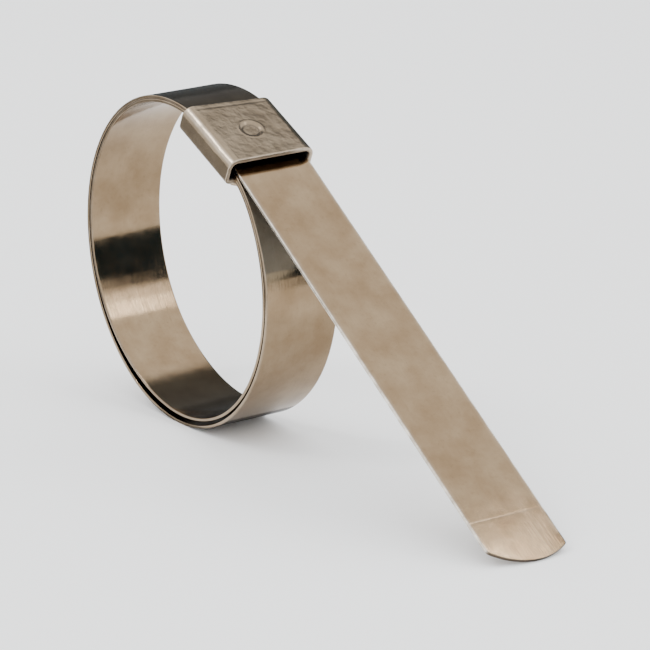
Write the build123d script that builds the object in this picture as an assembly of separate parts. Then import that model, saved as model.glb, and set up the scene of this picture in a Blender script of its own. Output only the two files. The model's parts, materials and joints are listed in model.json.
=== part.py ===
from build123d import *
from math import asin, atan2, cos, degrees, hypot, radians, sin, sqrt, tan
import os

# Preformed centre-punch band clamp for a 2-1/4 in hose. Millimetres.
# The shape is drawn in the buckle's own section plane: t runs along the buckle towards the tail,
# h rises square to its top plate, and (0, 0) is the middle of the free loop. The plane is then
# turned so that the clamp stands on its loop and on the tip of its tail, with Y across the band.

BAND_WIDTH = 15.875  # 5/8 in strip
BAND_THICKNESS = 0.635  # 0.025 in strip
LAYER_GAP = 0.025  # between layers that lie on each other
FLOOR_GAP = 0.05  # under the layer that lies in the buckle

# buckle: a sleeve folded from one blank, seam underneath
SHEET = 0.85
BUCKLE_WIDTH = 18.8
BUCKLE_SIDE = -0.4  # the strip lies nearer the far wall of the sleeve
BUCKLE_REAR = -6.0
REAR_SKEW = 1.2  # the rear end is cut aslant: its far side lies this much further in
BUCKLE_FRONT = 11.3
BUCKLE_TOP = 32.95
BUCKLE_FLOOR = 28.30  # inside face of the bottom plate
TOP_BEND = 2.0
BOTTOM_BEND = 1.4
INNER_CORNER = 0.3  # least radius inside a fold
SEAM_GAP = 0.15
LIP_INSET = 1.2  # scored line beside the rear edge
LIP_GROOVE = 0.22
DIMPLE_T = 3.3
DIMPLE_RADIUS = 2.3
DIMPLE_FLOOR_RADIUS = 1.6
DIMPLE_DEPTH = 0.45

# tail: straight strip on a line that is tangent to the loop
TAIL_DROP = 8.5  # degrees below the buckle
TAIL_LINE = 31.72  # from the middle of the loop to the strip's outer face
TAIL_ROOT = 0.4  # t of its end inside the buckle
TAIL_SIDE = 0.1  # its middle, off the middle of the two turns
TAIL_FREE = 92.3  # from the buckle's mouth to the near corner of the rounded end
TAIL_END_RISE = 2.7
TAIL_END_SKEW = 2.3  # the end is cut aslant: the far corner lies this much further out
TAIL_CORNER = 0.6
CREASE_FROM_CORNER = 6.1  # shallow line across the outer face, where the tool's grip begins
CREASE_WIDTH = 0.25
CREASE_DEPTH = 0.03
MOUTH_SLOPE = 12.5  # degrees below the buckle at which the turns leave its mouth

# anchored end, folded back under the buckle
TONGUE_FRONT = 12.6
TONGUE_WIDTH = 14.0

# clear bore: the round hose that passes under the folded end
BORE_RADIUS = 28.575  # 2-1/4 in hose
BORE_DROP = 1.57  # its middle lies this far under the middle of the loop
BORE_HALF_ANGLE = 54.0

LOOP_FOOT_RADIUS = 32.65  # outer face of the band where the loop meets the ground

half = BAND_THICKNESS / 2
pitch = BAND_THICKNESS + LAYER_GAP
bore_centre = Vector(0, -BORE_DROP)


def heading(angle):
    """Unit vector at an angle from the t axis."""
    return Vector(cos(radians(angle)), sin(radians(angle)))


def polar(angle, radius, lean=0.0):
    """Station on the loop, travelled clockwise. A positive lean opens the loop outwards."""
    return heading(angle) * radius, heading(angle - 90 + lean)


def shifted(station, distance):
    """The same station moved outwards, square to its own direction."""
    point, way = station
    return point + Vector(-way.Y, way.X) * distance, way


def tail_station(t, depth):
    """Station at t on the line that lies this deep under the tail's outer face."""
    drop = radians(TAIL_DROP)
    return Vector(t, (TAIL_LINE - depth - t * sin(drop)) / cos(drop)), heading(-TAIL_DROP)


def middle_of(first, second):
    """Point where the two tangent arcs that join two stations meet, and their common direction."""
    (p0, d0), (p1, d1) = first, second
    span = p1 - p0
    along = span.dot(d0 + d1)
    bend = 2 * (1 - d0.dot(d1))
    if bend < 1e-9:
        reach = span.dot(span) / (4 * span.dot(d0))
    else:
        reach = (sqrt(along**2 + bend * span.dot(span)) - along) / bend
    ahead = p0 + d0 * reach
    behind = p1 - d1 * reach
    return (ahead + behind) * 0.5, (behind - ahead).normalized()


def bend(first, second):
    """Edges of one bend from station to station: a line if they face each other, else two arcs."""
    (p0, d0), (p1, d1) = first, second
    chord = (p1 - p0).normalized()
    if abs(d0.dot(chord)) > 1 - 1e-9 and abs(d1.dot(chord)) > 1 - 1e-9:
        return [Line(p0, p1)]
    middle, way = middle_of(first, second)
    return [TangentArc(p0, middle, tangent=d0), TangentArc(middle, p1, tangent=way)]


def strip(stations, width):
    """Strip of constant thickness whose middle runs through the stations."""
    centre = Wire([edge for pair in zip(stations, stations[1:]) for edge in bend(*pair)])
    pieces = []
    for edge in centre.edges():
        start = edge.position_at(0)
        across = Vector(-edge.tangent_at(0).Y, edge.tangent_at(0).X) * half
        pieces.append(sweep(Line(start - across, start + across), path=edge))
    outline = Sketch() + pieces
    return extrude(section * outline, amount=width / 2, both=True)


# ground line: touches the foot of the loop and the tip of the tail
drop = radians(TAIL_DROP)
mouth = tail_station(BUCKLE_FRONT, 0)[0]
end_lean = atan2(TAIL_END_SKEW, BAND_WIDTH)
end_half = hypot(TAIL_END_SKEW, BAND_WIDTH) / 2
end_radius = (end_half**2 + TAIL_END_RISE**2) / (2 * TAIL_END_RISE)
end_reach = TAIL_END_SKEW / 2 + end_radius - (end_radius - TAIL_END_RISE) * cos(end_lean)
tip = tail_station(0, BAND_THICKNESS)[0]
tip += heading(-TAIL_DROP) * ((mouth - tip).dot(heading(-TAIL_DROP)) + TAIL_FREE + end_reach)
ground_angle = degrees(atan2(tip.Y, tip.X) + asin(LOOP_FOOT_RADIUS / hypot(tip.X, tip.Y)))
attitude = radians(-ground_angle)

t_axis = Vector(cos(attitude), 0, sin(attitude))
h_axis = Vector(-sin(attitude), 0, cos(attitude))
section = Plane(origin=h_axis * BORE_DROP, x_dir=t_axis, z_dir=(0, -1, 0))


def on_buckle(t, y, h):
    """Plane that looks out of the buckle's top, with x along t and y across the band."""
    return Plane(origin=section.origin + t_axis * t + Vector(0, y, 0) + h_axis * h, x_dir=t_axis, z_dir=h_axis)


# stations of the strip's middle line, from the folded end to the tail
tongue_h = BUCKLE_FLOOR - SHEET - LAYER_GAP - half
fold_h = BUCKLE_FLOOR + FLOOR_GAP + half
bore_r = BORE_RADIUS + half
second_layer = BAND_THICKNESS + LAYER_GAP + half

rear_second = (Vector(BUCKLE_REAR, 30.38), heading(10.6))
crest_second = tail_station(4.0, second_layer)
leave_second = tail_station(9.1, second_layer)
mouth_fall = (BUCKLE_FRONT - leave_second[0].X) * tan(radians((TAIL_DROP + MOUTH_SLOPE) / 2))
mouth_second = (Vector(BUCKLE_FRONT, leave_second[0].Y - mouth_fall), heading(-MOUTH_SLOPE))
mouth_first = shifted(mouth_second, -pitch)
shoulder_first = polar(54, 31.30)
split_second = middle_of(rear_second, crest_second)


def bore_station(angle):
    """Station on the bore arc, at an angle from straight under the buckle."""
    way = radians(angle)
    return bore_centre + Vector(sin(way), -cos(way)) * bore_r, heading(180 + angle)


inner_stations = [
    (Vector(TONGUE_FRONT, tongue_h), heading(180)),
    (Vector(BUCKLE_REAR, tongue_h), heading(180)),
    (Vector(BUCKLE_REAR, fold_h), heading(0)),
    mouth_first,
    shoulder_first,
    polar(20, 31.34, -1.2),
    bore_station(BORE_HALF_ANGLE),
    bore_station(-BORE_HALF_ANGLE),
    polar(162, 31.36, 0.8),
    polar(132, 31.22, -0.8),
    rear_second,
    split_second,
]

outer_stations = [
    split_second,
    crest_second,
    leave_second,
    mouth_second,
    shifted(shoulder_first, pitch),
    polar(30, 32.30),
    polar(-10, 32.26),
    polar(-65, LOOP_FOOT_RADIUS - half),
    polar(-105, 32.55),
    polar(-165, 32.36),
    polar(165, 32.20, -0.8),
    polar(132, 31.90, -0.8),
    shifted(rear_second, pitch),
    shifted(split_second, pitch),
]


def band_tail():
    """Free end of the strip: straight, with a rounded end, broken corners and a crease before the grip."""
    way = heading(-TAIL_DROP)
    root = tail_station(TAIL_ROOT, half)[0]
    length = (mouth - root).dot(way) + TAIL_FREE
    flat = Plane(
        origin=section.from_local_coords(root) + Vector(0, TAIL_SIDE, 0),
        x_dir=section.x_dir * way.X + section.y_dir * way.Y,
        z_dir=section.y_dir * way.X - section.x_dir * way.Y,
    )
    w = BAND_WIDTH / 2
    far = length + TAIL_END_SKEW
    crown = Vector((length + far) / 2, 0) + Vector(cos(end_lean), -sin(end_lean)) * TAIL_END_RISE
    outline = Wire([
        Line((0, -w), (length, -w)),
        ThreePointArc((length, -w), crown, (far, w)),
        Line((far, w), (0, w)),
        Line((0, w), (0, -w)),
    ])
    face = Face(outline)
    corners = [v for v in face.vertices() if v.X > length - 1e-6]
    blade = extrude(fillet(corners, TAIL_CORNER), amount=half, both=True)
    crease = Pos(length - CREASE_FROM_CORNER, 0, half) * Box(CREASE_WIDTH, 2 * BAND_WIDTH, 2 * CREASE_DEPTH)
    return flat * (blade - crease)


def buckle():
    """Folded sleeve with a butt seam underneath, a scored lip at the rear and the punch mark on top."""
    height = BUCKLE_TOP - BUCKLE_FLOOR + SHEET
    mid_h = (BUCKLE_TOP + BUCKLE_FLOOR - SHEET) / 2
    long = BUCKLE_FRONT - BUCKLE_REAR
    rear = on_buckle(BUCKLE_REAR, BUCKLE_SIDE, mid_h)
    across = Plane(origin=rear.origin, x_dir=(0, 1, 0), z_dir=t_axis)
    outside = Rectangle(BUCKLE_WIDTH, height)
    inside = Rectangle(BUCKLE_WIDTH - 2 * SHEET, height - 2 * SHEET)
    rounded = []
    for shape, lower, upper in ((outside, BOTTOM_BEND, TOP_BEND), (inside, INNER_CORNER, INNER_CORNER)):
        shape = fillet(shape.vertices().group_by(Axis.Y)[0], lower)
        rounded.append(fillet(shape.vertices().group_by(Axis.Y)[-1], upper))
    ring = rounded[0] - rounded[1]
    ring -= Pos(0, -height / 2) * Rectangle(SEAM_GAP, 3 * SHEET)
    body = extrude(across * ring, amount=long)

    lean = degrees(atan2(REAR_SKEW, BUCKLE_WIDTH))
    pivot = on_buckle(BUCKLE_REAR + REAR_SKEW / 2, BUCKLE_SIDE, BUCKLE_TOP).location * Rot(0, 0, -lean)
    body -= pivot * Pos(-5, 0, 0) * Box(10, 2 * BUCKLE_WIDTH, 2 * height + 1)
    groove = Box(LIP_GROOVE, BUCKLE_WIDTH - 2 * TOP_BEND, LIP_GROOVE)
    body -= pivot * Pos(LIP_INSET, 0, 0) * groove

    edges = [
        Line((0, -DIMPLE_DEPTH), (DIMPLE_FLOOR_RADIUS, -DIMPLE_DEPTH)),
        Line((DIMPLE_FLOOR_RADIUS, -DIMPLE_DEPTH), (DIMPLE_RADIUS, 0)),
        Line((DIMPLE_RADIUS, 0), (DIMPLE_RADIUS, 0.5)),
        Line((DIMPLE_RADIUS, 0.5), (0, 0.5)),
        Line((0, 0.5), (0, -DIMPLE_DEPTH)),
    ]
    punch = revolve(Plane.XZ * Face(Wire(edges)), axis=Axis.Z)
    body -= on_buckle(DIMPLE_T, BUCKLE_SIDE, BUCKLE_TOP).location * punch
    return body


def inner_wrap():
    """Folded end and first turn. The tongue under the buckle is trimmed narrower than the band."""
    whole = strip(inner_stations, BAND_WIDTH)
    trim_t = TONGUE_FRONT - 1.2
    for side in (-1, 1):
        trimmed = on_buckle(trim_t + 2, side * (TONGUE_WIDTH + BAND_WIDTH) / 4, tongue_h).location
        whole -= trimmed * Box(4, (BAND_WIDTH - TONGUE_WIDTH) / 2, 2)
    return whole


nodes = {
    "buckle": buckle(),
    "band_inner_wrap": inner_wrap(),
    "band_outer_wrap": strip(outer_stations, BAND_WIDTH),
    "band_tail": band_tail(),
}

os.makedirs("parts", exist_ok=True)
for name, shape in nodes.items():
    export_step(shape, f"parts/{name}.step")
    box = shape.bounding_box()
    print(name, "solids", len(shape.solids()), "volume", round(shape.volume, 1), "box", box)
print("attitude", round(degrees(attitude), 4), "ground z", round(section.origin.Z - LOOP_FOOT_RADIUS, 3))
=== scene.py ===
import json
import math

import bpy
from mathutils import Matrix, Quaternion, Vector


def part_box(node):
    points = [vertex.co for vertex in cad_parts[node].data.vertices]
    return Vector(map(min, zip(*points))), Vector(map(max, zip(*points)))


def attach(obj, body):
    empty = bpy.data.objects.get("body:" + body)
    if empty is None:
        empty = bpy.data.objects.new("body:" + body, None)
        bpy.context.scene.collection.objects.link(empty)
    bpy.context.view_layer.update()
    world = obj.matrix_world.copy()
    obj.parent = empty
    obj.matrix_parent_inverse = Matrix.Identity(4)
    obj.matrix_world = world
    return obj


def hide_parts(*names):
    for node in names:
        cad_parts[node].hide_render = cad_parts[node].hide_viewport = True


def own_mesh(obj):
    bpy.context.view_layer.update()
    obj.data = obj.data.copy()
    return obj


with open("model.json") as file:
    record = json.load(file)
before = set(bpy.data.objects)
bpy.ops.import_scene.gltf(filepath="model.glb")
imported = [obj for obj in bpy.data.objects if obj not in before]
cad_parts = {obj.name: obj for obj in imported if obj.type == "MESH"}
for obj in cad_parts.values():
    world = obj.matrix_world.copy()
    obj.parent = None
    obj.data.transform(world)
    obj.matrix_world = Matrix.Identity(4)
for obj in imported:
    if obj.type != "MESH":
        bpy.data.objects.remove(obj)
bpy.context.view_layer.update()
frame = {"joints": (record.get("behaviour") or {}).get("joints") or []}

MM = 0.001

# ---------------------------------------------------------------- dimensions, as in the CAD (mm)
BAND_WIDTH = 15.875
BAND_THICKNESS = 0.635
LAYER_GAP = 0.025
FLOOR_GAP = 0.05
SHEET = 0.85
BUCKLE_WIDTH = 18.8
BUCKLE_SIDE = -0.4
BUCKLE_REAR = -6.0
REAR_SKEW = 1.2
BUCKLE_FRONT = 11.3
BUCKLE_TOP = 32.95
BUCKLE_FLOOR = 28.30
TOP_BEND = 2.0
BOTTOM_BEND = 1.4
SEAM_GAP = 0.15
LIP_INSET = 1.2
DIMPLE_T = 3.3
DIMPLE_RADIUS = 2.3
DIMPLE_FLOOR_RADIUS = 1.6
DIMPLE_DEPTH = 0.45
TAIL_DROP = 8.5  # degrees under the buckle's own direction
TAIL_LINE = 31.72
TAIL_SIDE = 0.1
TAIL_ROOT = 0.4
TAIL_FREE = 92.3
TAIL_END_RISE = 2.7
TAIL_END_SKEW = 2.3
CREASE_FROM_CORNER = 6.1
MOUTH_SLOPE = 12.5  # degrees, of the turns where they leave the mouth
TONGUE_FRONT = 12.6
TONGUE_WIDTH = 14.0
TONGUE_TRIM = 1.2
BORE_DROP = 1.57
LOOP_FOOT_RADIUS = 32.65

HALF = BAND_THICKNESS / 2
PITCH = BAND_THICKNESS + LAYER_GAP

# ---------------------------------------------------------------- finer shape, not in the CAD (mm)
SLIT_RADIUS = 0.16  # slit edges of the strip and the sleeve, rolled smooth
TONGUE_SHOULDER = 0.4  # length over which the narrow tongue's end widens
CORNER_BREAK = 0.3  # rounding of the corners of the tail's end
CREASE_SAG = 0.004
CREASE_WIDTH = 0.22
CREASE_HIGHLIGHT_SHARE = 0.05  # painted highlight along the crease
CREASE_HIGHLIGHT_WIDTH = 0.16
CREASE_HIGHLIGHT_SLANT = 0.03  # mm along the tail for each mm across it
CREASE_HIGHLIGHT_STOP = 1.6  # the painted highlight along the crease ends this far from the far edge
EDGE_FALLOFF_WIDTH = 0.22  # how far from edges the painted highlight reaches
DIMPLE_RING = 0.05  # height of the ring that the punch raises
DIMPLE_RING_OUT = 0.15
DIMPLE_RING_WIDTH = 0.22
DIMPLE_SHADE_WIDTH = 0.16  # of the painted shade round the dimple's floor
# width of the painted shade along the score line
SCORE_SHADE_WIDTH = 0.15
SCORE_DEPTH = 0.05
SCORE_WIDTH = 0.16
MOUTH_LIGHT_AND_DULL = 1.8  # how far in the sleeve's inside is painted lighter and made duller

# ---------------------------------------------------------------- mesh density
STEP = 0.6  # mm along the strip
FOLD_STEP = 0.12
TAIL_STEP = 1.2
TAIL_END_ROWS = 44
TAIL_END_START = 2.0  # mm before the nearer corner
CREASE_STEP = 0.08
CREASE_ROWS = 9  # on either side
CREASE_CLEAR = 0.8  # mm on either side without the tail's plain rows
STRIP_COLUMNS = 14  # over a wide face
EDGE_STEPS = 6  # over a quarter round of the strip's edge
SLEEVE_ROWS = 72
SLEEVE_EDGE_ROWS = 4
TOP_COLUMNS = 36  # over half the sleeve's top
BEND_COLUMNS = 8
SIDE_COLUMNS = 6
FLOOR_COLUMNS = 12

# ---------------------------------------------------------------- the buckle's section plane
way_of_tail = next(j for j in frame["joints"] if j["name"] == "tail_pull")["axis"]
ATTITUDE = math.atan2(way_of_tail[2], way_of_tail[0]) + math.radians(TAIL_DROP)
T_AXIS = Vector((math.cos(ATTITUDE), 0, math.sin(ATTITUDE)))
H_AXIS = Vector((-math.sin(ATTITUDE), 0, math.cos(ATTITUDE)))
GROUND_Z = min(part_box("band_outer_wrap")[0].z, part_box("band_tail")[0].z)


def place(t, y, h):
    """Row-frame point, in metres, of buckle coordinates in mm."""
    return (T_AXIS * t + H_AXIS * (h + BORE_DROP) + Vector((0, y, 0))) * MM


def heading(angle):
    """Unit direction at an angle in degrees."""
    a = math.radians(angle)
    return Vector((math.cos(a), math.sin(a)))


def polar(angle, radius, lean=0.0):
    """Station of a turn that runs clockwise round the origin, leaned from the tangent by some degrees."""
    return heading(angle) * radius, heading(angle - 90 + lean)


def shifted(station, distance):
    """Station moved sideways, to the left of its direction."""
    point, way = station
    return point + Vector((-way.y, way.x)) * distance, way


def tail_station(t, depth):
    """Station at t on a line under the tail's upper face, parallel to it."""
    drop = math.radians(TAIL_DROP)
    h = (TAIL_LINE - depth - t * math.sin(drop)) / math.cos(drop)
    return Vector((t, h)), heading(-TAIL_DROP)


def middle_of(first, second):
    """Station where the two tangent arcs between two stations meet."""
    (p0, d0), (p1, d1) = first, second
    span = p1 - p0
    along = span.dot(d0 + d1)
    turn = 2 * (1 - d0.dot(d1))
    if turn < 1e-9:
        reach = span.dot(span) / (4 * span.dot(d0))
    else:
        reach = (math.sqrt(along**2 + turn * span.dot(span)) - along) / turn
    ahead = p0 + d0 * reach
    behind = p1 - d1 * reach
    return (ahead + behind) * 0.5, (behind - ahead).normalized()


def sample_arc(start, end, step):
    """Points and directions of the arc from one station to the next, without its last point."""
    (p0, d0), (p1, d1) = start, end
    chord = p1 - p0
    half_turn = math.atan2(d0.x * chord.y - d0.y * chord.x, d0.dot(chord))
    length = chord.length if abs(half_turn) < 1e-6 else chord.length * half_turn / math.sin(half_turn)
    count = max(1, math.ceil(length / step))
    out = []
    for i in range(count):
        share = i / count
        turn = 2 * half_turn * share
        if abs(half_turn) < 1e-6:
            point = p0 + chord * share
        else:
            radius = chord.length / (2 * math.sin(half_turn))
            normal = Vector((-d0.y, d0.x))
            point = p0 + d0 * (radius * math.sin(turn)) + normal * (radius * (1 - math.cos(turn)))
        cos, sin = math.cos(turn), math.sin(turn)
        out.append((point, Vector((d0.x * cos - d0.y * sin, d0.x * sin + d0.y * cos))))
    return out


def run_through(stations, step):
    """Dense points and directions along the strip's middle line."""
    line = []
    for first, second in zip(stations, stations[1:]):
        chord = (second[0] - first[0]).normalized()
        if first[1].dot(chord) > 1 - 1e-9 and second[1].dot(chord) > 1 - 1e-9:
            line += sample_arc(first, second, step)
            continue
        middle = middle_of(first, second)
        line += sample_arc(first, middle, step)
        line += sample_arc(middle, second, step)
    return line + [stations[-1]]


tongue_h = BUCKLE_FLOOR - SHEET - LAYER_GAP - HALF
fold_h = BUCKLE_FLOOR + FLOOR_GAP + HALF
rear_second = (Vector((BUCKLE_REAR, 30.38)), heading(10.6))
crest_second = tail_station(4.0, PITCH + HALF)
leave_second = tail_station(9.1, PITCH + HALF)
mouth_fall = (BUCKLE_FRONT - leave_second[0].x) * math.tan(math.radians((TAIL_DROP + MOUTH_SLOPE) / 2))
mouth_second = (Vector((BUCKLE_FRONT, leave_second[0].y - mouth_fall)), heading(-MOUTH_SLOPE))
mouth_first = shifted(mouth_second, -PITCH)
shoulder_first = polar(54, 31.30)
split_second = middle_of(rear_second, crest_second)

inner_stations = [
    (Vector((TONGUE_FRONT, tongue_h)), heading(180)),
    (Vector((BUCKLE_REAR, tongue_h)), heading(180)),
    (Vector((BUCKLE_REAR, fold_h)), heading(0)),
    mouth_first,
    shoulder_first,
    polar(20, 31.34, -0.1),
    polar(-22, 31.26, -0.8),
    polar(-56, 30.80, -1.5),
    polar(-90, 30.50, 0.4),
    polar(-124, 31.08, 1.2),
    polar(-165, 31.32, 0.4),
    polar(162, 31.36, 0.8),
    polar(132, 31.22, -0.8),
    rear_second,
    split_second,
]
outer_stations = [
    split_second,
    crest_second,
    leave_second,
    mouth_second,
    shifted(shoulder_first, PITCH),
    polar(30, 32.30),
    polar(-10, 32.26),
    polar(-65, LOOP_FOOT_RADIUS - HALF),
    polar(-105, 32.55),
    polar(-165, 32.36),
    polar(165, 32.20, -0.8),
    polar(132, 31.90, -0.8),
    shifted(rear_second, PITCH),
    shifted(split_second, PITCH),
]


# ---------------------------------------------------------------- mesh helpers
def section_points(near, far, radius):
    """Closed outline of the strip's section between its near and far edge, as (y, n, share of painted edge
    highlight).
    """
    middle, half_width = (near + far) / 2, (far - near) / 2
    radius = max(min(radius, half_width * 0.9), 0.001)
    flat = half_width - radius
    rise = HALF - radius
    points = []
    for i in range(STRIP_COLUMNS + 1):
        points.append((-flat + 2 * flat * spread(i / STRIP_COLUMNS), HALF))
    for i in range(1, EDGE_STEPS + 1):
        a = math.pi / 2 * (1 - i / EDGE_STEPS)
        points.append((flat + radius * math.cos(a), rise + radius * math.sin(a)))
    for i in range(EDGE_STEPS + 1):
        a = -math.pi / 2 * i / EDGE_STEPS
        points.append((flat + radius * math.cos(a), -rise + radius * math.sin(a)))
    for i in range(1, STRIP_COLUMNS + 1):
        points.append((flat - 2 * flat * spread(i / STRIP_COLUMNS), -HALF))
    for i in range(1, EDGE_STEPS + 1):
        a = -math.pi / 2 - math.pi / 2 * i / EDGE_STEPS
        points.append((-flat + radius * math.cos(a), -rise + radius * math.sin(a)))
    for i in range(EDGE_STEPS):
        a = math.pi - math.pi / 2 * i / EDGE_STEPS
        points.append((-flat + radius * math.cos(a), rise + radius * math.sin(a)))
    return [(middle + y, n, edge_falloff(half_width - abs(y))) for y, n in points]


def smooth(x):
    """Smooth step from 0 to 1, as x goes from 0 to 1."""
    x = max(0.0, min(1.0, x))
    return x * x * (3 - 2 * x)


def spread(share):
    """Columns crowd towards both edges, where the painted highlight is."""
    return 0.5 - 0.5 * math.cos(math.pi * share)


def bell(offset, width):
    """1 at no offset, fading to nothing some widths away."""
    return math.exp(-((offset / width) ** 2))


def edge_falloff(inset):
    """How near an edge this is, at this distance inside it: 1 on the edge, 0 half a millimetre in. It
    places the painted highlights along edges, and keeps the painted shade inside the sleeve off its ends.
    """
    return bell(inset, EDGE_FALLOFF_WIDTH)


def make_object(name, verts, faces, uvs, painted_light, painted_shade, matt):
    """Smooth mesh with its strip UV map and its painted highlights, painted shade and dull places as
    attributes.
    """
    mesh = bpy.data.meshes.new(name)
    mesh.from_pydata(verts, [], faces)
    for attribute, values in (("painted_light", painted_light), ("painted_shade", painted_shade), ("matt", matt)):
        mesh.attributes.new(attribute, "FLOAT", "POINT").data.foreach_set("value", values)
    layer = mesh.uv_layers.new(name="strip")
    for loop in mesh.loops:
        layer.data[loop.index].uv = uvs[loop.vertex_index]
    for poly in mesh.polygons:
        poly.use_smooth = True
    mesh.validate()
    obj = bpy.data.objects.new(name, mesh)
    bpy.context.scene.collection.objects.link(obj)
    return obj


def strip_object(name, rows, start_s, edge_paint, crease_line=None):
    """Strip from rows of (point, way, s, near edge, far edge), with rounded edges and closed ends.

    The edge function gives the share of painted highlight and of painted shade along the edges at s.
    """
    verts, uvs, faces, painted_light, painted_shade = [], [], [], [], []
    for point, way, s, near, far in rows:
        normal = Vector((-way.y, way.x))
        ring = section_points(near, far, SLIT_RADIUS)
        bright, shaded = edge_paint(s)
        for y, n, edge in ring:
            at = point + normal * n
            verts.append(place(at.x, y, at.y))
            uvs.append(((start_s + s) / 10, y / 10))
            line = 0.0
            # a faint painted highlight along the crease
            if crease_line is not None and n > 0 and far - y > CREASE_HIGHLIGHT_STOP:
                line = CREASE_HIGHLIGHT_SHARE * bell(s - crease_line - CREASE_HIGHLIGHT_SLANT * y, CREASE_HIGHLIGHT_WIDTH)
            painted_light.append(max(edge * bright, line))
            painted_shade.append(edge * shaded)
    count = len(verts) // len(rows)
    for r in range(len(rows) - 1):
        a = r * count
        b = a + count
        for i in range(count):
            j = (i + 1) % count
            faces.append((a + i, a + j, b + j, b + i))
    faces.append(tuple(range(count))[::-1])
    last = (len(rows) - 1) * count
    faces.append(tuple(last + i for i in range(count)))
    obj = make_object(name, verts, faces, uvs, painted_light, painted_shade, [0.0] * len(painted_light))
    obj.data.polygons[-1].use_smooth = False
    obj.data.polygons[-2].use_smooth = False
    return obj


def arc_lengths(line):
    """Length of the line up to each of its points."""
    total = 0.0
    out = [0.0]
    for (a, _), (b, _) in zip(line, line[1:]):
        total += (b - a).length
        out.append(total)
    return out


# ---------------------------------------------------------------- the two turns
def wrap(name, stations, start_s, trimmed=False):
    """One turn of the strip, and its length. A trimmed one starts with the narrow tongue and the fold."""
    line = run_through(stations, STEP)
    if trimmed:
        fold = run_through(stations[1:3], FOLD_STEP)
        line = run_through(stations[:2], STEP)[:-1] + fold[:-1] + run_through(stations[2:], STEP)
    lengths = arc_lengths(line)
    rows = []
    for (point, way), s in zip(line, lengths):
        width = BAND_WIDTH / 2
        if trimmed:
            share = max(0.0, min(1.0, (s - TONGUE_TRIM) / TONGUE_SHOULDER))
            width = TONGUE_WIDTH / 2 + (BAND_WIDTH - TONGUE_WIDTH) / 2 * share
        rows.append((point, way, s, -width, width))
    # faint painted highlight along both edges of a turn, and no painted shade
    return strip_object(name, rows, start_s, lambda s: (0.12, 0.0)), lengths[-1]


inner, inner_length = wrap("inner_turn", inner_stations, 0.0, trimmed=True)
outer, outer_length = wrap("outer_turn", outer_stations, inner_length)


# ---------------------------------------------------------------- the tail
def lesser(a, b):
    """The smaller of the two, with a rounded change-over: the tail's broken corners."""
    return 0.5 * (a + b - math.sqrt((a - b) ** 2 + CORNER_BREAK**2)) + 0.0015


def make_tail():
    """Straight tail. Its end is an arc, whose chord is aslant from the nearer to the further corner."""
    way = heading(-TAIL_DROP)
    root = tail_station(TAIL_ROOT, HALF)[0]
    mouth = tail_station(BUCKLE_FRONT, 0)[0]
    corner = (mouth - root).dot(way) + TAIL_FREE
    half_width = BAND_WIDTH / 2
    lean = math.atan2(TAIL_END_SKEW, BAND_WIDTH)
    chord = math.hypot(TAIL_END_SKEW, BAND_WIDTH) / 2
    radius = (chord**2 + TAIL_END_RISE**2) / (2 * TAIL_END_RISE)
    centre_s = corner + TAIL_END_SKEW / 2 - (radius - TAIL_END_RISE) * math.cos(lean)
    centre_y = (radius - TAIL_END_RISE) * math.sin(lean)
    total = centre_s + radius
    crease = corner - CREASE_FROM_CORNER
    first = corner - TAIL_END_START
    stops = [i * TAIL_STEP for i in range(int(first / TAIL_STEP))]
    stops = [s for s in stops if abs(s - crease) > CREASE_CLEAR]
    stops += [crease + CREASE_STEP * i for i in range(-CREASE_ROWS, CREASE_ROWS + 1)]
    for i in range(TAIL_END_ROWS + 1):
        stops.append(first + (total - first) * (1 - (1 - i / TAIL_END_ROWS) ** 2))
    normal = Vector((-way.y, way.x))
    rows = []
    for s in sorted(stops):
        reach = math.sqrt(max(radius**2 - max(s - centre_s, 0) ** 2, 1e-6))
        near = TAIL_SIDE - max(lesser(half_width, reach - centre_y), -centre_y)
        far = TAIL_SIDE + max(lesser(half_width, reach + centre_y), centre_y)
        sag = CREASE_SAG * bell(s - crease, CREASE_WIDTH)
        rows.append((root + way * s - normal * sag, way, s, near, max(far, near + 0.02)))

    # painted highlight along the tail's side edges, fading out round its end, where painted shade darkens
    # the end instead
    def edge_paint(s):
        end = smooth((s - corner) / 0.8 + 0.5)
        return 1.0 - 0.95 * end, 0.7 * end

    return strip_object("tail_strip", rows, inner_length + outer_length, edge_paint, crease_line=crease)


tail = make_tail()


# ---------------------------------------------------------------- the buckle
def dimple(t, y):
    """Height of the top inside the punch mark, and of the slight ring that the punch raises around it."""
    r = math.hypot(t - DIMPLE_T, y)
    wall = smooth((DIMPLE_RADIUS - r) / (DIMPLE_RADIUS - DIMPLE_FLOOR_RADIUS))
    ring = bell(r - DIMPLE_RADIUS - DIMPLE_RING_OUT, DIMPLE_RING_WIDTH)
    return DIMPLE_RING * ring - DIMPLE_DEPTH * wall


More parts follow.
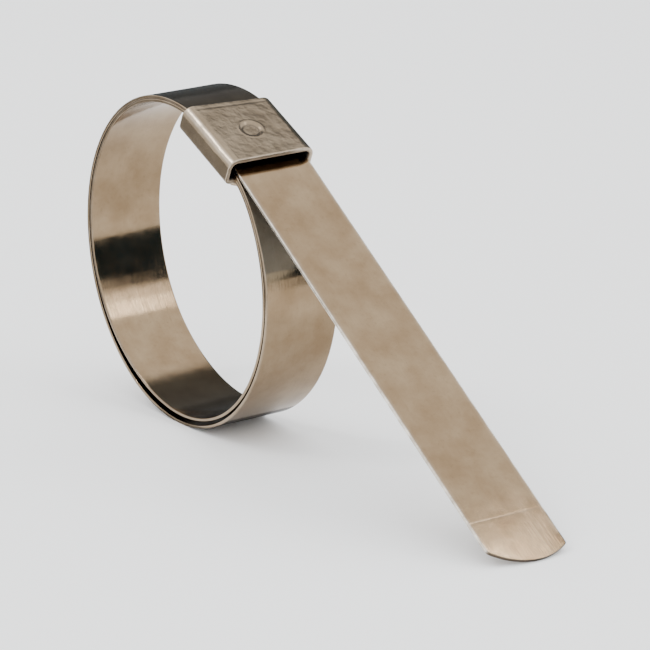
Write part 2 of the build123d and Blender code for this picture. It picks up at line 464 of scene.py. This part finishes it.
def buckle_outline(inset):
    """Half outline of the folded sheet from the middle of the top to the seam, as (y, h)."""
    half_w = BUCKLE_WIDTH / 2 - inset
    top = BUCKLE_TOP - inset
    bottom = BUCKLE_FLOOR - SHEET + inset
    upper = max(TOP_BEND - inset, 0.3)
    lower = max(BOTTOM_BEND - inset, 0.3)
    points = []
    flat = half_w - upper
    for i in range(TOP_COLUMNS + 1):
        points.append((flat * i / TOP_COLUMNS, top))
    for i in range(1, BEND_COLUMNS + 1):
        a = math.pi / 2 * (1 - i / BEND_COLUMNS)
        points.append((flat + upper * math.cos(a), top - upper + upper * math.sin(a)))
    side_top, side_bottom = top - upper, bottom + lower
    for i in range(1, SIDE_COLUMNS + 1):
        points.append((half_w, side_top + (side_bottom - side_top) * i / SIDE_COLUMNS))
    for i in range(1, BEND_COLUMNS + 1):
        a = -math.pi / 2 * i / BEND_COLUMNS
        points.append((half_w - lower + lower * math.cos(a), bottom + lower + lower * math.sin(a)))
    seam = SEAM_GAP / 2
    flat = half_w - lower
    for i in range(1, FLOOR_COLUMNS + 1):
        points.append((flat + (seam - flat) * i / FLOOR_COLUMNS, bottom))
    return points


def full_outline(inset):
    """Both halves of the outline, from seam to seam."""
    half = buckle_outline(inset)
    return [(-y, h) for y, h in reversed(half)] + half[1:]


def sleeve_stops():
    """Places along the sleeve, and how far the skin is tucked in there to round its ends."""
    tucks = []
    for i in range(SLEEVE_EDGE_ROWS + 1):
        a = math.pi / 2 * i / SLEEVE_EDGE_ROWS
        tucks.append((SLIT_RADIUS * (1 - math.cos(a)), SLIT_RADIUS * (1 - math.sin(a))))
    stops = [(BUCKLE_REAR + inset, tuck) for inset, tuck in tucks]
    flat = BUCKLE_FRONT - BUCKLE_REAR - 2 * SLIT_RADIUS
    for i in range(1, SLEEVE_ROWS):
        stops.append((BUCKLE_REAR + SLIT_RADIUS + flat * i / SLEEVE_ROWS, 0.0))
    return stops + [(BUCKLE_FRONT - inset, tuck) for inset, tuck in reversed(tucks)]


def make_buckle():
    """Folded sleeve: an outside and an inside skin, joined at both ends and at the seam."""
    outside, inside = full_outline(0), full_outline(SHEET)
    columns = len(outside)
    stops = sleeve_stops()
    rows = len(stops)
    length = BUCKLE_FRONT - BUCKLE_REAR
    verts, uvs, faces, painted_light, painted_shade, matt = [], [], [], [], [], []
    for inner_skin, line, other in ((False, outside, inside), (True, inside, outside)):
        top = BUCKLE_TOP - SHEET if inner_skin else BUCKLE_TOP
        for station, tuck in stops:
            from_rear = station - BUCKLE_REAR
            end = min(from_rear, BUCKLE_FRONT - station)
            for (y, h), (yo, ho) in zip(line, other):
                on_top = h > top - 0.01
                t = station + REAR_SKEW * (y / BUCKLE_WIDTH + 0.5) * (BUCKLE_FRONT - station) / length
                lean = Vector((yo - y, ho - h)).normalized() * tuck
                py, ph = y + lean.x, h + lean.y
                if on_top and not inner_skin:
                    ph += dimple(t, y)
                    ends_of_score = smooth((BUCKLE_WIDTH / 2 - 1.3 - abs(y)) / 0.6)
                    ph -= SCORE_DEPTH * bell(from_rear - LIP_INSET, SCORE_WIDTH) * ends_of_score
                verts.append(place(t, py + BUCKLE_SIDE, ph))
                uvs.append((t / 10, (y + (BUCKLE_TOP - h)) / 10))
                if inner_skin:
                    # inside the sleeve: painted highlight on its ends, painted light and a duller finish
                    # just inside its mouths, and painted shade further in
                    mouth_light_and_dull = smooth((MOUTH_LIGHT_AND_DULL - end) / 0.8)
                    painted_light.append(max(edge_falloff(end), 0.9 * mouth_light_and_dull))
                    painted_shade.append(smooth((end - 1.0) / 0.8) if on_top else 1.0 - edge_falloff(end * 0.5))
                    matt.append(mouth_light_and_dull)
                else:
                    # outside: painted highlight on the ends and along the top bends, painted shade round
                    # the dimple's floor and along the score line
                    fold = abs(abs(y) - BUCKLE_WIDTH / 2 + 0.6) + abs(h - BUCKLE_TOP + 0.6)
                    ring = math.hypot(t - DIMPLE_T, y) - DIMPLE_FLOOR_RADIUS
                    dimple_shade = bell(ring, DIMPLE_SHADE_WIDTH) if on_top else 0.0
                    score_shade = bell(from_rear - LIP_INSET, SCORE_SHADE_WIDTH) if on_top else 0.0
                    painted_light.append(max(edge_falloff(end), edge_falloff(max(0, fold - 0.5))))
                    painted_shade.append(max(0.6 * dimple_shade, 0.3 * score_shade))
                    matt.append(0.0)
    base = rows * columns
    for skin in (0, 1):
        for r in range(rows - 1):
            for c in range(columns - 1):
                a = skin * base + r * columns + c
                quad = (a, a + 1, a + columns + 1, a + columns)
                faces.append(quad if skin else quad[::-1])
    for c in range(columns - 1):
        a, b = c, base + c
        faces.append((a, a + 1, b + 1, b))
        a, b = (rows - 1) * columns + c, base + (rows - 1) * columns + c
        faces.append((a, b, b + 1, a + 1))
    for r in range(rows - 1):
        a, b = r * columns, base + r * columns
        faces.append((a, b, b + columns, a + columns))
        a, b = r * columns + columns - 1, base + r * columns + columns - 1
        faces.append((a, a + columns, b + columns, b))
    return make_object("sleeve_buckle", verts, faces, uvs, painted_light, painted_shade, matt)


sleeve = make_buckle()


# ---------------------------------------------------------------- materials
class Shader:
    """A material with a Principled BSDF, and short ways to add nodes to it."""

    def __init__(self, name):
        self.material = bpy.data.materials.new(name)
        self.material.use_nodes = True
        self.tree = self.material.node_tree
        self.tree.nodes.clear()
        self.out = self.node("ShaderNodeOutputMaterial")
        self.bsdf = self.node("ShaderNodeBsdfPrincipled")
        self.link(self.bsdf, "BSDF", self.out, "Surface")

    def node(self, kind, **values):
        n = self.tree.nodes.new(kind)
        for key, value in values.items():
            setattr(n, key, value)
        return n

    def link(self, a, out, b, into):
        self.tree.links.new(a.outputs[out], b.inputs[into])

    def noise(self, coords, scale, detail, rough, stretch=(1, 1, 1)):
        mapping = self.node("ShaderNodeMapping")
        mapping.inputs["Scale"].default_value = stretch
        self.link(coords[0], coords[1], mapping, "Vector")
        tex = self.node("ShaderNodeTexNoise")
        tex.inputs["Scale"].default_value = scale
        tex.inputs["Detail"].default_value = detail
        tex.inputs["Roughness"].default_value = rough
        self.link(mapping, "Vector", tex, "Vector")
        return tex

    def ramp(self, source, out, stops):
        r = self.node("ShaderNodeValToRGB")
        while len(r.color_ramp.elements) < len(stops):
            r.color_ramp.elements.new(0.5)
        for element, (pos, colour) in zip(r.color_ramp.elements, stops):
            element.position = pos
            element.color = (*colour, 1)
        self.link(source, out, r, "Fac")
        return r

    def mix(self, kind, fac, a, b):
        m = self.node("ShaderNodeMix", data_type="RGBA", blend_type=kind)
        m.inputs["Factor"].default_value = fac
        self.tree.links.new(a, m.inputs[6])
        self.tree.links.new(b, m.inputs[7])
        return m.outputs[2]

    def rescale(self, source, out, low, high):
        """The middle half of a noise's range, spread from low to high."""
        m = self.node("ShaderNodeMapRange")
        m.inputs["From Min"].default_value = 0.25
        m.inputs["From Max"].default_value = 0.75
        m.inputs["To Min"].default_value = low
        m.inputs["To Max"].default_value = high
        self.link(source, out, m, "Value")
        return m


def steel(name, dark, light, edge, rough, dents, dent_scale, streak_depth, grain_depth, cloud_scale):
    """Rolled stainless sheet: clouds of tint, lines along the strip, specks, painted shade and painted
    highlights on edges.
    """
    s = Shader(name)
    uv = (s.node("ShaderNodeUVMap", uv_map="strip"), "UV")
    place_on = (s.node("ShaderNodeTexCoord"), "Object")
    clouds = s.noise(place_on, cloud_scale, 4.0, 0.6)
    tint = s.ramp(clouds, "Fac", [(0.32, dark), (0.68, light)])
    streaks = s.noise(uv, 1.0, 4.0, 0.6, stretch=(0.9, 46.0, 1.0))
    streak_tint = s.ramp(streaks, "Fac", [(0.3, (0.93, 0.93, 0.93)), (0.7, (1.0, 1.0, 1.0))])
    tinted = s.mix("MULTIPLY", 0.8, tint.outputs["Color"], streak_tint.outputs["Color"])

    specks = s.noise(place_on, 1500.0, 3.0, 0.65)
    speck_tint = s.ramp(specks, "Fac", [(0.30, (0.80, 0.79, 0.77)), (0.42, (1.0, 1.0, 1.0))])
    tinted = s.mix("MULTIPLY", 0.55, tinted, speck_tint.outputs["Color"])

    # painted highlights along edges, broken up by a coarse noise, and painted shade
    painted_light = s.node("ShaderNodeAttribute", attribute_name="painted_light")
    highlight_breakup = s.noise(place_on, 420.0, 3.0, 0.6)
    breakup_mask = s.rescale(highlight_breakup, "Fac", 0.25, 1.15)
    edge_highlight = s.node("ShaderNodeMath", operation="MULTIPLY", use_clamp=True)
    s.link(painted_light, "Fac", edge_highlight, 0)
    s.link(breakup_mask, "Result", edge_highlight, 1)
    edged = s.node("ShaderNodeMix", data_type="RGBA")
    s.link(edge_highlight, "Value", edged, "Factor")
    s.tree.links.new(tinted, edged.inputs[6])
    edged.inputs[7].default_value = (*edge, 1)
    # near-black painted shade, in recesses, inside the sleeve and on the tail's end
    shade = s.node("ShaderNodeAttribute", attribute_name="painted_shade")
    darkened = s.node("ShaderNodeMix", data_type="RGBA")
    s.link(shade, "Fac", darkened, "Factor")
    s.tree.links.new(edged.outputs[2], darkened.inputs[6])
    darkened.inputs[7].default_value = (0.025, 0.026, 0.027, 1)
    s.tree.links.new(darkened.outputs[2], s.bsdf.inputs["Base Color"])
    s.bsdf.inputs["Metallic"].default_value = 1.0

    smudges = s.noise(place_on, cloud_scale * 2.7, 5.0, 0.6)
    rough_map = s.rescale(smudges, "Fac", rough - 0.03, rough + 0.04)
    unpolished = s.node("ShaderNodeAttribute", attribute_name="matt")
    roughness = s.node("ShaderNodeMath", operation="MULTIPLY_ADD")
    roughness.inputs[1].default_value = 0.5
    s.link(unpolished, "Fac", roughness, 0)
    s.link(rough_map, "Result", roughness, 2)
    s.link(roughness, "Value", s.bsdf, "Roughness")

    waves = s.noise(place_on, dent_scale, 2.0, 0.5)
    grain = s.noise(place_on, 2600.0, 2.0, 0.5)
    surface = None
    for height, strength, distance in (
        (waves, dents, 0.0002),
        (streaks, streak_depth, 0.00004),
        (grain, grain_depth, 0.00002),
    ):
        bump = s.node("ShaderNodeBump")
        bump.inputs["Strength"].default_value = strength
        bump.inputs["Distance"].default_value = distance
        s.link(height, "Fac", bump, "Height")
        if surface is not None:
            s.link(surface, "Normal", bump, "Normal")
        surface = bump
    s.link(surface, "Normal", s.bsdf, "Normal")
    return s.material


band_steel = steel(
    "band_stainless",
    dark=(0.205, 0.138, 0.078),
    light=(0.272, 0.196, 0.120),
    edge=(0.80, 0.75, 0.67),
    rough=0.11,
    dents=0.3,
    dent_scale=95.0,
    streak_depth=0.3,
    grain_depth=0.1,
    cloud_scale=150.0,
)
buckle_steel = steel(
    "buckle_stainless",
    dark=(0.188, 0.142, 0.094),
    light=(0.266, 0.206, 0.142),
    edge=(0.42, 0.35, 0.27),
    rough=0.24,
    dents=0.6,
    dent_scale=380.0,
    streak_depth=0.3,
    grain_depth=0.5,
    cloud_scale=190.0,
)


# ---------------------------------------------------------------- assign, ride, replace
for obj, node, body, slot_name, material in (
    (inner, "band_inner_wrap", "clamp", "band_steel", band_steel),
    (outer, "band_outer_wrap", "clamp", "band_steel", band_steel),
    (tail, "band_tail", "tail", "band_steel", band_steel),
    (sleeve, "buckle", "clamp", "buckle_steel", buckle_steel),
):
    obj.data.materials.append(material)
    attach(obj, body)
    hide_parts(node)

# both turns get meshes of their own
for obj in (inner, outer):
    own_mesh(obj)


# ---------------------------------------------------------------- floor, light, camera
FLOOR_HALF = 1.6
FLOOR_CELLS = 8


def make_floor():
    """Plain floor under the clamp, out to all sides."""
    verts, faces = [], []
    ticks = [-FLOOR_HALF + 2 * FLOOR_HALF * i / FLOOR_CELLS for i in range(FLOOR_CELLS + 1)]
    for x in ticks:
        for y in ticks:
            verts.append((x, y, GROUND_Z - 0.00002))
    for i in range(FLOOR_CELLS):
        for j in range(FLOOR_CELLS):
            a = i * (FLOOR_CELLS + 1) + j
            b = a + FLOOR_CELLS + 1
            faces.append((a, b, b + 1, a + 1))
    mesh = bpy.data.meshes.new("pale_floor")
    mesh.from_pydata(verts, [], faces)
    floor = bpy.data.objects.new("pale_floor", mesh)
    bpy.context.scene.collection.objects.link(floor)
    s = Shader("floor_paint")
    coords = (s.node("ShaderNodeTexCoord"), "Object")
    clouds = s.noise(coords, 3.0, 2.0, 0.5)
    tone = s.ramp(clouds, "Fac", [(0.3, (0.93, 0.93, 0.925)), (0.7, (0.95, 0.95, 0.945))])
    s.link(tone, "Color", s.bsdf, "Base Color")
    s.bsdf.inputs["Roughness"].default_value = 0.7
    s.bsdf.inputs["Specular IOR Level"].default_value = 0.2
    floor.data.materials.append(s.material)
    # the tip of the tail rests on the floor, so the floor sinks with it as the tail is pulled down and out
    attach(floor, "tail")


make_floor()


def area_light(name, location, target, width, height, radiance, lean=0.0):
    """Rectangular light that faces its target, turned about its own axis by some degrees."""
    data = bpy.data.lights.new(name, "AREA")
    data.shape = "RECTANGLE"
    data.size = width
    data.size_y = height
    data.energy = math.pi * radiance * width * height
    lamp = bpy.data.objects.new(name, data)
    lamp.location = location
    lamp.rotation_mode = "QUATERNION"
    aimed = (Vector(target) - Vector(location)).to_track_quat("-Z", "Y")
    lamp.rotation_quaternion = aimed @ Quaternion((0, 0, 1), math.radians(lean))
    bpy.context.scene.collection.objects.link(lamp)


def along_cone(psi, distance):
    """Point in a direction in which the faces of the band mirror the room to the camera."""
    a = math.radians(psi)
    return Vector((0.85 * math.cos(a), 0.53, 0.85 * math.sin(a))).normalized() * distance


UNIT_CARD = ((-0.5, -0.5), (0.5, -0.5), (0.5, 0.5), (-0.5, 0.5))


def card_facing(centre, aim, width, height):
    """Corners of an upright card at centre that faces aim."""
    centre, aim = Vector(centre), Vector(aim)
    facing = (aim - centre).to_track_quat("Z", "Y").to_matrix()
    return [centre + facing @ Vector((width * x, height * y, 0)) for x, y in UNIT_CARD]


def dark_card(name, corners, tone):
    """Black or grey card beside the set: only the metal's reflections show it."""
    mesh = bpy.data.meshes.new(name)
    mesh.from_pydata(corners, [], [tuple(range(len(corners)))])
    card = bpy.data.objects.new(name, mesh)
    bpy.context.scene.collection.objects.link(card)
    s = Shader(name + "_felt")
    coords = (s.node("ShaderNodeTexCoord"), "Object")
    low, high = tuple(c * 0.85 for c in tone), tuple(c * 1.15 for c in tone)
    felt = s.ramp(s.noise(coords, 30.0, 3.0, 0.5), "Fac", [(0.3, low), (0.7, high)])
    s.link(felt, "Color", s.bsdf, "Base Color")
    s.bsdf.inputs["Roughness"].default_value = 0.9
    s.bsdf.inputs["Specular IOR Level"].default_value = 0.05
    card.data.materials.append(s.material)
    card.visible_camera = False
    card.visible_diffuse = False
    card.visible_shadow = False
    card.visible_transmission = False


MIDDLE = (0.0, 0.0, 0.0)
BUCKLE_SPOT = (0.015, -0.005, 0.02)
LOOP_SPOT = (0.0, 0.005, 0.02)
MIRRORED = (0.107, 0.073, 0.0235)  # middle of the side plane, which the inside of the loop mirrors
WINDOW = Vector((0.147, 0.1047, 0.141))
WINDOW_AIM = Vector((-0.026, 0.0, -0.014))
WINDOW_ACROSS = Vector((-0.518, 0.855, 0.0))
WINDOW_UP = Vector((-0.520, -0.315, 0.794))
WINDOW_WIDTH = 0.0175
WINDOW_LEAN = -19
FOOT_CARD = ((-0.02, -0.01), (0.0125, -0.01), (0.0125, 0.014), (-0.02, 0.014))  # where the loop stands
FOOT_CARD_Z = GROUND_Z + 0.00015
TAIL_CARD_DEPTH = 1.1  # mm under the tail's upper face
TAIL_CARD_HALF = 7.6


def under_tail(first, last):
    """Corners of a card just under the tail, from t to t."""
    side = TAIL_CARD_HALF
    corners = ((first, -side), (last, -side), (last, side), (first, side))
    return [place(t, y, tail_station(t, TAIL_CARD_DEPTH)[0].y) for t, y in corners]


def on_plane(aside, up, width, height):
    """Corners of a card in the side plane, this far aside and up from its middle."""
    corners = card_facing(MIRRORED, LOOP_SPOT, 1.0, 1.0)
    middle = sum(corners, Vector()) / 4
    across, upward = corners[1] - corners[0], corners[3] - corners[0]
    if across.y < 0:
        across = -across
    if upward.z < 0:
        upward = -upward
    centre = middle + across * aside + upward * up
    return [centre + across * (width * x) + upward * (height * y) for x, y in UNIT_CARD]


for name, aside, up, height, radiance in (
    ("window", 0.0214, 0.014, 0.043, 11.0),
    ("window_sill", 0.0085, -0.018, 0.028, 3.4),
):
    shift = WINDOW_ACROSS * aside + WINDOW_UP * up
    area_light(name, WINDOW + shift, WINDOW_AIM + shift, WINDOW_WIDTH, height, radiance, WINDOW_LEAN)
area_light("fold_light", (-0.2, -0.38, 0.62), BUCKLE_SPOT, 0.13, 0.13, 18.0)
dark_card("side_card", on_plane(0.004, -0.009, 0.052, 0.072), (0.012, 0.026, 0.040))
dark_card("side_top_card", on_plane(0.016, 0.034, 0.030, 0.014), (0.014, 0.026, 0.038))
dark_card("wedge_card", on_plane(-0.0285, -0.0195, 0.013, 0.024), (0.03, 0.042, 0.055))
dark_card("under_card", under_tail(11.8, 41.0), (0.45, 0.55, 0.70))
dark_card("under_low_card", under_tail(41.0, 62.0), (0.80, 0.88, 0.95))
# grey card on the floor where the loop stands: painted shade, seen only in the loop's reflection
dark_card("foot_card", [(x, y, FOOT_CARD_Z) for x, y in FOOT_CARD], (0.32, 0.33, 0.34))
dark_card("rear_card", card_facing(along_cone(149, 0.5), MIDDLE, 0.8, 0.58), (0.098, 0.108, 0.118))
dark_card("rear_low_card", card_facing(along_cone(169, 0.42), MIDDLE, 0.7, 0.2), (0.050, 0.055, 0.058))
front = card_facing((-0.064, -0.066, -0.004), (0.015, -0.01, 0.02), 0.11, 0.07)
dark_card("front_card", front, (0.35, 0.34, 0.32))

world = bpy.data.worlds.new("studio")
world.use_nodes = True
bpy.context.scene.world = world
background = world.node_tree.nodes["Background"]
background.inputs["Color"].default_value = (0.97, 0.985, 1.0, 1)
background.inputs["Strength"].default_value = 2.3

camera_data = bpy.data.cameras.new("camera")
camera_data.lens = 189.77
camera_data.sensor_width = 36.0
camera_data.clip_start = 0.05
camera_data.clip_end = 20.0
camera = bpy.data.objects.new("camera", camera_data)
camera.location = (0.54298, -0.33388, 0.17696)
camera.rotation_euler = tuple(math.radians(a) for a in (73.347, 1.457, 55.961))
bpy.context.scene.collection.objects.link(camera)
bpy.context.scene.camera = camera
